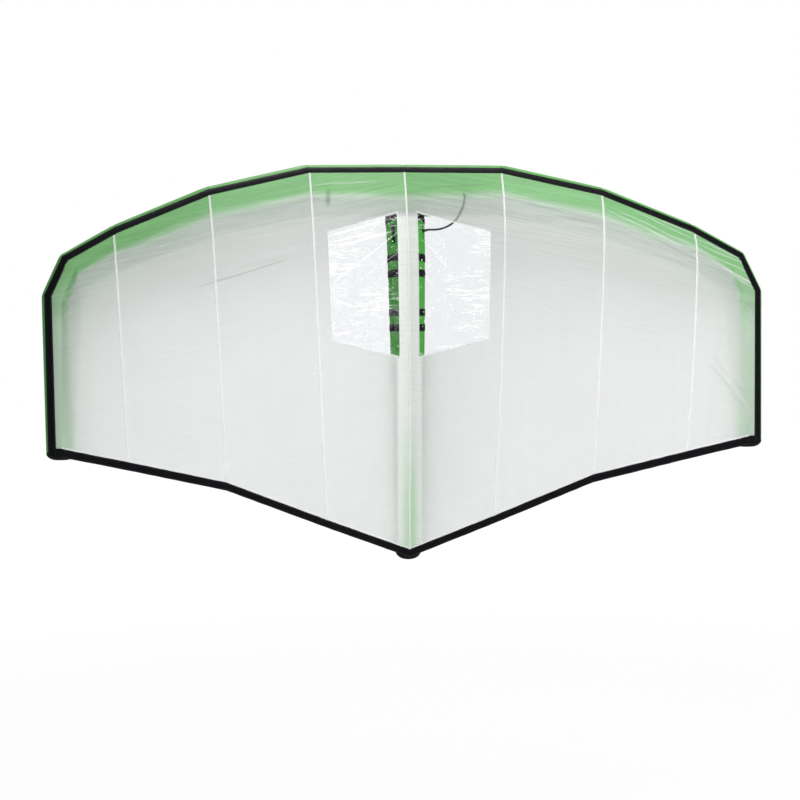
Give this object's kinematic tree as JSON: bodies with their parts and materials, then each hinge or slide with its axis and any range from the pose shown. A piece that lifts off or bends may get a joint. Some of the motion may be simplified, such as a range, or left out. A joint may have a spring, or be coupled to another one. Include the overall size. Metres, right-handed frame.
{
  "type": "wingfoil wing",
  "caption": "Inflatable hand-held wing with a kinked tubular leading edge, a central strut, a panelled canopy with clear windows and soft grab handles.",
  "frame": {"origin": "inner top of the leash loop, where a hook or a wrist leash carries the wing", "axes": "+X along the span, +Y from the top of the canopy towards the strut and the handles, +Z from the trailing edge towards the leading edge, up as the wing hangs"},
  "size_m": [3.1812, 0.625, 1.8378],
  "materials": {
    "green_dacron": "matt woven polyester",
    "canopy_ripstop": "thin coated ripstop cloth",
    "clear_film": "clear flexible film",
    "black_webbing": "woven webbing",
    "bladder_film": "thin air-tight film",
    "handle_cover": "padded cloth cover",
    "black_hose": "smooth",
    "black_plastic": "moulded"
  },
  "bodies": {
    "wing": {"canopy_panel_left_1": "canopy_ripstop", "canopy_panel_left_2": "canopy_ripstop", "canopy_panel_left_3": "canopy_ripstop", "canopy_panel_left_4": "canopy_ripstop", "canopy_panel_right_1": "canopy_ripstop", "canopy_panel_right_2": "canopy_ripstop", "canopy_panel_right_3": "canopy_ripstop", "canopy_panel_right_4": "canopy_ripstop", "front_handle_patch": "black_webbing", "handle_harness_1": "black_webbing", "handle_harness_2": "black_webbing", "handle_harness_3": "black_webbing", "handle_harness_4": "black_webbing", "handle_harness_5": "black_webbing", "hose": "black_hose", "hose_fitting_le": "black_plastic", "hose_fitting_strut": "black_plastic", "le_bladder": "bladder_film", "le_seam_band_left": "black_webbing", "le_seam_band_right": "black_webbing", "le_segment_left_1": "green_dacron", "le_segment_left_2": "green_dacron", "le_segment_left_3": "green_dacron", "le_segment_left_4": "green_dacron", "le_segment_left_5": "green_dacron", "le_segment_left_6": "green_dacron", "le_segment_right_1": "green_dacron", "le_segment_right_2": "green_dacron", "le_segment_right_3": "green_dacron", "le_segment_right_4": "green_dacron", "le_segment_right_5": "green_dacron", "le_segment_right_6": "green_dacron", "le_zip": "black_webbing", "leash_loop": "black_webbing", "strut_bladder": "bladder_film", "strut_end_cap": "black_webbing", "strut_sleeve": "green_dacron", "strut_zip": "black_webbing", "tip_cap_left": "black_webbing", "tip_cap_right": "black_webbing", "trailing_hem_left": "black_webbing", "trailing_hem_right": "black_webbing", "valve_base": "black_plastic", "window_left": "clear_film", "window_right": "clear_film"},
    "handle_1_body": {"handle_1": "handle_cover"},
    "handle_2_body": {"handle_2": "handle_cover"},
    "handle_3_body": {"handle_3": "handle_cover"},
    "handle_4_body": {"handle_4": "handle_cover"},
    "handle_5_body": {"handle_5": "handle_cover"},
    "front_handle_body": {"front_handle": "handle_cover"},
    "valve_cap_body": {"valve_cap": "black_plastic"},
    "valve_poppet_body": {"valve_poppet": "black_plastic"},
    "strut_zip_slider_body": {"strut_zip_slider": "black_plastic"},
    "le_zip_slider_body": {"le_zip_slider": "black_plastic"}
  },
  "joints": [
    {"name": "handle_1_swing", "type": "hinge", "parent": "wing", "child": "handle_1_body", "pos_m": [0, -0.12298, -0.36728], "axis": [0, -0.1906, -0.9817], "range_deg": [-40, 40]},
    {"name": "handle_2_swing", "type": "hinge", "parent": "wing", "child": "handle_2_body", "pos_m": [0, -0.14094, -0.59079], "axis": [0, -0.0109, -0.9999], "range_deg": [-40, 40]},
    {"name": "handle_3_swing", "type": "hinge", "parent": "wing", "child": "handle_3_body", "pos_m": [0, -0.13921, -0.82984], "axis": [0, 0.0234, -0.9997], "range_deg": [-40, 40]},
    {"name": "handle_4_swing", "type": "hinge", "parent": "wing", "child": "handle_4_body", "pos_m": [0, -0.12894, -1.06984], "axis": [0, 0.0589, -0.9983], "range_deg": [-40, 40]},
    {"name": "handle_5_swing", "type": "hinge", "parent": "wing", "child": "handle_5_body", "pos_m": [0, -0.11099, -1.31013], "axis": [0, 0.0936, -0.9956], "range_deg": [-40, 40]},
    {"name": "front_handle_swing", "type": "hinge", "parent": "wing", "child": "front_handle_body", "pos_m": [0, 0.03261, -0.09998], "axis": [1, 0, 0], "range_deg": [-40, 40]},
    {"name": "valve_cap_hinge", "type": "hinge", "parent": "wing", "child": "valve_cap_body", "pos_m": [-0.42045, -0.06917, -0.13854], "axis": [-0.0762, 0.1838, 0.98], "range_deg": [0, 150]},
    {"name": "valve_poppet_press", "type": "slide", "parent": "wing", "child": "valve_poppet_body", "axis": [0.2103, -0.9578, 0.196], "range_m": [0, 0.005], "stiffness_N_per_m": 150},
    {"name": "strut_zip_slide", "type": "slide", "parent": "wing", "child": "strut_zip_slider_body", "axis": [0.0123, -0.211, -0.9774], "range_m": [0, 0.06]},
    {"name": "le_zip_slide", "type": "slide", "parent": "wing", "child": "le_zip_slider_body", "axis": [0.9454, -0.2242, -0.2365], "range_m": [0, 0.24]}
  ]
}
